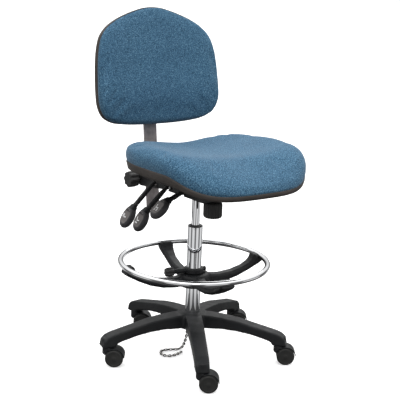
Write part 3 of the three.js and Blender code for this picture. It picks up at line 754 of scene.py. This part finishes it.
def seat_top(u, v):
    """Height of the cushion's top: bolsters at the sides, a swell at the rear and a front that falls away."""
    bolster = 44 * np.abs(u) ** 1.65 * (1 - 0.21 * smoothstep(v, -0.15, 1)) * (1 - 0.41 * smoothstep(-v, 0, 0.6))
    rear = 8 * smoothstep(v, 0.35, 0.95)
    thigh = 8 * smoothstep(-v, 0.05, 0.55)
    return 707.5 + bolster + rear + thigh - 52 * smoothstep(-v, 0.29, 1.06) ** 1.65


def seat_outline():
    turn = np.arange(AROUND) / AROUND * 2 * math.pi
    c, s = np.cos(turn), np.sin(turn)
    power = 2 / lerp(2.85, 3.7, smoothstep(s, -0.9, 0.3))
    v = np.sign(s) * np.abs(s) ** power
    u = np.sign(c) * np.abs(c) ** power * (1 - 0.03 * smoothstep(v, 0.2, 1))
    return u, v


def seat_ring(scale, height):
    u, v = seat_outline()
    z = height(u * scale, v * scale, v)
    return np.stack([u * scale * SEAT_HALF_WIDTH, SEAT_CENTRE_Y + v * scale * SEAT_HALF_DEPTH, z + 0 * u], 1)


def seat_shell_rings():
    lower = lambda u, v, edge: seam_height(edge) - band_height(edge)
    lifted = lambda add: lambda u, v, edge: lower(u, v, edge) + add
    under = lambda add: lambda u, v, edge: seam_height(edge) - add
    flat = lambda u, v, edge: SEAT_MOUNT_Z + 0 * u
    dish = lambda share: lambda u, v, edge: lerp(SEAT_MOUNT_Z, lower(u, v, edge), share)
    return [
        seat_ring(0.05, flat), seat_ring(0.3, flat), seat_ring(0.5, flat), seat_ring(0.53, dish(0.04)),
        seat_ring(0.62, dish(0.2)), seat_ring(0.72, dish(0.39)), seat_ring(0.8, dish(0.55)),
        seat_ring(0.88, dish(0.75)), seat_ring(0.925, dish(0.93)), seat_ring(0.93, lifted(0)),
        seat_ring(0.965, lifted(-0.4)), seat_ring(0.976, lifted(0.6)), seat_ring(0.984, lifted(3)),
        seat_ring(0.991, under(14)), seat_ring(0.998, under(8)), seat_ring(1.0, under(5)),
        seat_ring(1.0, under(2.6)), seat_ring(0.997, under(0.8)), seat_ring(0.991, under(0.4)),
        seat_ring(0.985, under(1.6)), seat_ring(0.98, under(6)), seat_ring(0.6, under(22)),
        seat_ring(0.05, under(30)),
    ]


SEAT_SIDE = [
    (0.984, -0.10), (0.990, -0.02), (1.0, 0.06), (1.011, 0.28), (1.009, 0.5), (0.988, 0.69), (0.944, 0.86),
    (0.885, 0.97), (0.78, 1.0), (0.56, 1.0), (0.3, 1.0), (0.05, 1.0),
]


def seat_cushion_rings():
    def rise(share):
        return lambda u, v, edge: lerp(seam_height(edge), seat_top(u, v), share)

    bed = [seat_ring(scale, lambda u, v, edge: seam_height(edge) - 9 + 0 * u) for scale in (0.05, 0.5, 0.9, 0.97)]
    return bed + [seat_ring(scale, rise(share)) for scale, share in spaced(SEAT_SIDE, 40)]


PAD_VOXEL = 5.5
PAD_PRESSURE = 4.0
PAD_SWELL = 5  # the most that the cloth may move, in millimetres
CLOTH_FRAMES = 20


def padded_cloth(name, shape, body, stands_for, pinned):
    """A foam pad: its cover is blown up as cloth from a slightly slack form, held where pinned says."""
    obj = bpy.data.objects.new(name, mesh_of(name, shape))
    scene.collection.objects.link(obj)
    voxel_smooth(obj, PAD_VOXEL, 4)
    before = np.array([v.co for v in obj.data.vertices])
    held = pinned(before)
    group = obj.vertex_groups.new(name="held")
    for index, weight in enumerate(held):
        group.add([index], float(weight), "REPLACE")
    cloth = obj.modifiers.new("cloth", "CLOTH")
    cloth.settings.quality = 6
    cloth.settings.mass = 0.3
    cloth.settings.tension_stiffness = 25
    cloth.settings.compression_stiffness = 25
    cloth.settings.shear_stiffness = 12
    cloth.settings.bending_stiffness = 3
    cloth.settings.use_pressure = True
    cloth.settings.uniform_pressure_force = PAD_PRESSURE
    cloth.settings.vertex_group_mass = "held"
    cloth.settings.effector_weights.gravity = 0
    cloth.collision_settings.use_collision = False
    cloth.collision_settings.use_self_collision = False
    cloth.point_cache.frame_end = CLOTH_FRAMES
    for number in range(1, CLOTH_FRAMES + 1):
        scene.frame_set(number)
    baked_down(obj)
    scene.frame_set(1)
    after = np.array([v.co for v in obj.data.vertices])
    move = after - before
    length = np.linalg.norm(move, axis=1, keepdims=True)
    limit = PAD_SWELL * MM
    move *= np.where(length > 1e-9, limit * np.tanh(length / limit) / np.maximum(length, 1e-9), 1)
    obj.data.vertices.foreach_set("co", (before + move).ravel())
    obj.data.update()
    obj.vertex_groups.clear()
    finer = obj.modifiers.new("finer", "SUBSURF")
    finer.levels = finer.render_levels = 1
    baked_down(obj)
    finished(obj, "fabric", body, stands_for, 80)
    return obj


def screw_heads(places, radius, height, matrix=None):
    shape = Shape()
    head = rounded([
        (0.05, 0.2), (radius * 0.45, 0.2), (radius * 0.5, 1.4), (radius * 0.75, height), (radius, height * 0.4),
        (radius, -0.6), (0.05, -0.6),
    ], 0.4)
    for place in places:
        local = Matrix.Translation(place) @ (matrix or Matrix())
        shape.add(turned(head, 28), local)
    return shape


def build_seat():
    piece("seat_pan", Shape().add(skin(seat_shell_rings())), "edge", "seat", ["seat_shell"], 50)

    def held(points):
        y = (points[:, 1] - AXIS.y) / MM
        seam = seam_height((y - SEAT_CENTRE_Y) / SEAT_HALF_DEPTH)
        return 1 - smoothstep(points[:, 2] / MM - seam, 2, 14)

    cushion = Shape().add(skin(seat_cushion_rings()))
    padded_cloth("seat_pad", cushion, "seat", ["seat_cushion"], held)
    flip = Matrix.Rotation(math.pi, 4, "X")
    corners = [(x, -10 + y, 602.2) for x in (-80, 80) for y in (-66, 66)]
    piece("seat_plate_bolts", screw_heads(corners, 7, 4.2, flip), "steel", "seat")
    around = [(x, y, SEAT_MOUNT_Z - 0.3) for x in (-95, 95) for y in (-205, -150)]
    piece("seat_pan_screws", screw_heads(around, 4.5, 2.6, flip), "steel", "seat")


# ---------------------------------------------------------------- backrest, with Z up along the upright
LEAN = math.radians(6.6)
CLAMP = (0, 271, 564)
ON_UPRIGHT = Matrix.Translation(CLAMP) @ Matrix.Rotation(-LEAN, 4, "X")
BACK_HALF = [
    (0, 187), (71, 188), (132, 192), (184, 201), (219, 221), (236, 255), (240, 300), (239, 349), (236, 399),
    (229, 446), (215, 486), (187, 517), (147, 541), (105, 558.5), (64, 572), (30, 580), (0, 582),
]
BACK_MIDDLE = 385
BACK_WRAP, BACK_WRAP_AT = 20, 234  # the sides stand this far forward, at this far from the middle


def closed_curve(points, count):
    """A smooth curve through a closed list of points, sampled evenly by length."""
    pts = np.array(points, float)
    n = len(pts)
    dense = []
    for i in range(n):
        dense += curve_span(*(pts[(i + k) % n] for k in (-1, 0, 1, 2)), 16)
    dense = np.array(dense + dense[:1])
    run = length_run(dense)
    return sampled(dense, run, np.linspace(0, run[-1], count, endpoint=False))


BACK_OUTLINE = closed_curve(BACK_HALF + [(-x, z) for x, z in BACK_HALF[-2:0:-1]], 160)


def wrap(x):
    return BACK_WRAP * (x / BACK_WRAP_AT) ** 2


def back_ring(scale, depth):
    """One ring of the backrest; depth is how far it stands forward of the upright."""
    x = BACK_OUTLINE[:, 0] * scale
    z = BACK_MIDDLE + (BACK_OUTLINE[:, 1] - BACK_MIDDLE) * scale
    forward = depth(x, z) + wrap(x)
    return np.stack([x, -forward, z], 1)


def lumbar(d):
    return lambda x, z: d + 9 * np.exp(-(((z - 290) / 75) ** 2)) - 16 * smoothstep(z, 400, 570)


def even(d):
    return lambda x, z: d + 0 * x


def build_back():
    shell = [
        back_ring(0.05, even(11)), back_ring(0.35, even(11)), back_ring(0.6, even(11.5)), back_ring(0.8, even(13.5)),
        back_ring(0.86, even(15)), back_ring(0.875, even(17.4)), back_ring(0.89, even(17.6)),
        back_ring(0.905, even(16.6)), back_ring(0.95, even(19)), back_ring(0.975, even(22)),
        back_ring(0.99, even(26)), back_ring(0.998, even(31)),
        back_ring(1.0, even(35)), back_ring(1.0, even(44)), back_ring(0.997, even(46)), back_ring(0.992, even(46.3)),
        back_ring(0.986, even(44.6)), back_ring(0.980, even(38)), back_ring(0.6, even(28)), back_ring(0.05, even(26)),
    ]
    piece("back_cover", Shape().add(skin(shell), ON_UPRIGHT), "edge", "back", ["back_shell"], 50)
    side = [
        (0.982, 37), (0.987, 44.5), (0.995, 48.5), (0.999, 54), (0.993, 62), (0.965, 68.8), (0.9, 72.8), (0.75, 74),
        (0.5, 74), (0.25, 74), (0.04, 74),
    ]

    def face(scale, depth):
        share = float(smoothstep(depth, 45, 60))
        return back_ring(scale, lambda x, z: lerp(depth, lumbar(depth)(x, z), share))

    bed = [back_ring(scale, even(32)) for scale in (0.05, 0.5, 0.9, 0.97)]
    rings = bed + [face(scale, depth) for scale, depth in spaced(side, 40)]

    def held(points):
        local = np.array(ON_UPRIGHT.inverted() @ Matrix.Scale(1 / MM, 4) @ Matrix.Translation(-AXIS))
        y = points @ local[1, :3] + local[1, 3]
        x = points @ local[0, :3] + local[0, 3]
        return 1 - smoothstep(-y - wrap(x), 48, 58)

    padded_cloth("back_pad", Shape().add(skin(rings), ON_UPRIGHT), "back", ["back_cushion"], held)
    corner = rounded([(-26, -119), (26, -119), (26, 395), (-26, 395)], 6, True, 4)
    bar = [
        [(x * w, y, z + (1 - w) * 40) for x, z in corner] for y, w in ((-3, 0.975), (-2.4, 1), (2.4, 1), (3, 0.975))
    ]
    piece("upright_bar", Shape().add(skin(bar), ON_UPRIGHT), "upright", "back", ["back_upright"], 40)
    ahead = Matrix.Rotation(-math.pi / 2, 4, "X")
    behind = screw_heads([(x, 3.2, z) for x in (-13, 13) for z in (310, 366)], 6.5, 4, ahead)
    placed = Shape().add((behind.points, behind.faces), ON_UPRIGHT)
    piece("upright_bolts", placed, "steel", "back")
    edge = screw_heads([(x, -3.1, z) for x in (-35, 35) for z in (296, 382)], 4.5, 2.6, ahead)
    placed = Shape().add((edge.points, edge.faces), ON_UPRIGHT)
    piece("bracket_screws", placed, "steel", "back")


# ---------------------------------------------------------------- drag chain
CHAIN_ROUTE = [
    (-18, 0, 97), (-18, 1, 82), (-18, 5, 60), (-18, 14, 36), (-18, 28, 14), (-24, 39, 4.2), (-40, 46, 3.6),
    (-67, 56, 3.6), (-88, 53, 3.6), (-98, 36, 3.6), (-94, 14, 3.6), (-78, 4, 3.6), (-56, 5, 3.6), (-32, 13, 3.6),
]
LINK_LENGTH = 14
LINK_WIDTH = 9.6
WIRE = 1.75
LINK_LIFT = Vector((0, 0, 1.0))  # keeps the links on the floor clear of it


def open_curve(points, step):
    """A smooth curve through an open list of points, sampled about every step millimetres, and its length."""
    pts = np.array(points, float)
    pts = np.vstack([2 * pts[0] - pts[1], pts, 2 * pts[-1] - pts[-2]])
    dense = []
    for i in range(1, len(pts) - 2):
        dense += curve_span(*pts[i - 1 : i + 3], 24)
    dense = np.array(dense + [pts[-2]])
    run = length_run(dense)
    count = max(2, int(round(run[-1] / step)) + 1)
    return sampled(dense, run, np.linspace(0, run[-1], count)), run[-1]


def chain_link():
    """One oval link of round wire, lying in the plane y = 0 with its length along z."""
    rings = []
    straight = (LINK_LENGTH - LINK_WIDTH) / 2
    bend = LINK_WIDTH / 2 - WIRE
    for t in np.arange(28) / 28 * 2 * math.pi:
        x, z = bend * math.cos(t), bend * math.sin(t) + straight * (1 if math.sin(t) >= 0 else -1)
        outward = Vector((math.cos(t), 0, math.sin(t)))
        around = np.arange(10) / 10 * 2 * math.pi
        rings.append([
            Vector((x, 0, z)) + WIRE * (math.cos(a) * outward + math.sin(a) * Vector((0, 1, 0))) for a in around
        ])
    return skin(rings, looped=True)


def build_chain():
    pitch = LINK_LENGTH - 2.9 * WIRE
    path, length = open_curve(CHAIN_ROUTE, pitch)
    chain = Shape()
    link = chain_link()
    for i, point in enumerate(path):
        ahead = Vector(path[min(i + 1, len(path) - 1)] - path[max(i - 1, 0)]).normalized()
        roll = math.radians(45 + 90 * (i % 2))
        stand = ahead.to_track_quat("Z", "Y").to_matrix().to_4x4()
        if i:
            chain.add(link, Matrix.Translation(Vector(point) + LINK_LIFT) @ stand @ Matrix.Rotation(roll, 4, "Z"))
    obj = piece("ground_chain", chain, "chain", "base", ["drag_chain"], 60)
    # Every other link gets the darker steel: painted shade, standing in for the light and dark of the links'
    # reflections.
    obj.data.materials.append(MATERIALS["painted_shade_link"])
    for polygon in obj.data.polygons:
        polygon.material_index = polygon.index // len(link[1]) % 2
    fine, _ = open_curve(CHAIN_ROUTE, 2)


# ---------------------------------------------------------------- what stays from the CAD model
def dress_cad_nodes():
    slot_of = {part["node"]: part["material_slot"] for part in frame["record"]["subparts"]}
    for name, obj in nodes.items():
        key = MATERIAL_OF_SLOT[slot_of[name]]
        obj.data.materials.clear()
        obj.data.materials.append(MATERIALS[key])


# ---------------------------------------------------------------- studio
def stage_floor():
    bpy.ops.mesh.primitive_plane_add(size=120, location=(0, 0, -0.0006))
    floor = bpy.context.object
    floor.name = "studio_floor"
    s = Shader("studio_floor")
    s.set("Base Color", (0.93, 0.93, 0.93))
    s.set("Roughness", 0.9)
    s.set("Specular IOR Level", 0.1)
    s.set("Emission Color", (1.0, 1.0, 1.0))
    s.set("Emission Strength", 0.45)
    floor.data.materials.append(s.material)
    floor.visible_diffuse = False
    floor.visible_glossy = False


def stage_backdrop():
    """A pale dome past the floor, which lights nothing."""
    bpy.ops.mesh.primitive_uv_sphere_add(segments=64, ring_count=32, radius=40)
    dome = bpy.context.object
    dome.name = "studio_backdrop"
    s = Shader("studio_backdrop")
    s.set("Base Color", (0.0, 0.0, 0.0))
    s.set("Emission Color", (1.0, 1.0, 1.0))
    s.set("Emission Strength", 1.0)
    dome.data.materials.append(s.material)
    dome.visible_diffuse = False
    dome.visible_glossy = False
    dome.visible_shadow = False
    dome.visible_transmission = False


def area_light(name, location, target, size, power):
    data = bpy.data.lights.new(name, "AREA")
    data.shape = "RECTANGLE"
    data.size, data.size_y = size
    data.energy = power
    light = bpy.data.objects.new(name, data)
    scene.collection.objects.link(light)
    light.location = location
    light.rotation_euler = (Vector(target) - Vector(location)).to_track_quat("-Z", "Y").to_euler()


# How bright the room is, by height from straight down (-1) to straight up (1).
SKY_LEVELS = [
    (-1.0, 0.05), (-0.5, 0.08), (-0.36, 0.46), (-0.08, 0.46), (-0.05, 0.04), (0.12, 0.04), (0.17, 0.38),
    (0.5, 0.52), (0.8, 0.80), (1.0, 0.80),
]
SOFTBOXES = 6
SOFTBOX_SHARE = 0.5
SOFTBOX_EDGE = 0.1
SOFTBOX_LEVEL = 0.85
GAP_LEVEL = 0.2
SOFTBOX_TOP = 0.35
WORLD_STRENGTH = 2.0


def softbox_stops():
    """(turn, level) round the room for equal tall softboxes, evenly spaced, with soft edges."""
    stops = []
    for i in range(SOFTBOXES):
        for side, level in ((-1, GAP_LEVEL), (-1, SOFTBOX_LEVEL), (1, SOFTBOX_LEVEL), (1, GAP_LEVEL)):
            reach = SOFTBOX_SHARE / 2 + (SOFTBOX_EDGE if level == GAP_LEVEL else 0)
            stops.append(((i + 0.5 + side * reach) / SOFTBOXES, level))
    return stops


def grey_ramp(tree, fac, stops):
    """The colour of a ramp of greys over (position, level) stops."""
    made = tree.nodes.new("ShaderNodeValToRGB")
    while len(made.color_ramp.elements) < len(stops):
        made.color_ramp.elements.new(0.5)
    for element, (position, level) in zip(made.color_ramp.elements, stops):
        element.position = position
        element.color = (level, level, level, 1)
    tree.links.new(fac, made.inputs["Fac"])
    return made.outputs["Color"]


def studio_world():
    """Soft light that is strongest overhead and weak along the horizon, with softboxes that show in the chrome."""
    world = bpy.data.worlds.new("studio")
    scene.world = world
    world.use_nodes = True
    tree = world.node_tree
    add, link = tree.nodes.new, tree.links.new
    background = tree.nodes["Background"]
    way = add("ShaderNodeTexCoord").outputs["Generated"]
    parts = add("ShaderNodeSeparateXYZ")
    link(way, parts.inputs[0])
    height = add("ShaderNodeMapRange")
    height.inputs["From Min"].default_value = -1
    link(parts.outputs["Z"], height.inputs["Value"])
    around = add("ShaderNodeTexGradient")
    around.gradient_type = "RADIAL"
    link(way, around.inputs["Vector"])
    low = add("ShaderNodeMapRange")
    low.inputs["From Min"].default_value = SOFTBOX_TOP
    low.inputs["From Max"].default_value = 0.0
    link(parts.outputs["Z"], low.inputs["Value"])
    mixed = add("ShaderNodeMix")
    mixed.data_type = "RGBA"
    mixed.blend_type = "MULTIPLY"
    link(low.outputs["Result"], mixed.inputs[0])
    levels = [((z + 1) / 2, level) for z, level in SKY_LEVELS]
    link(grey_ramp(tree, height.outputs["Result"], levels), mixed.inputs[6])
    link(grey_ramp(tree, around.outputs["Fac"], softbox_stops()), mixed.inputs[7])
    link(mixed.outputs[2], background.inputs["Color"])
    background.inputs["Strength"].default_value = WORLD_STRENGTH


def build_studio():
    stage_floor()
    stage_backdrop()
    studio_world()
    area_light("key", (-1.6, -1.8, 2.6), (0, 0, 0.6), (1.4, 1.4), 16)
    area_light("rim", (1.8, 1.6, 2.4), (0, 0, 0.8), (1.0, 1.6), 14)
    scene.view_settings.view_transform = "Standard"


# ---------------------------------------------------------------- assembly
add_camera()
MATERIALS = make_materials()
build_chain()
dress_cad_nodes()
build_column()
build_base()
build_casters()
build_foot_ring()
build_mechanism()
build_levers()
build_seat()
build_back()
build_studio()
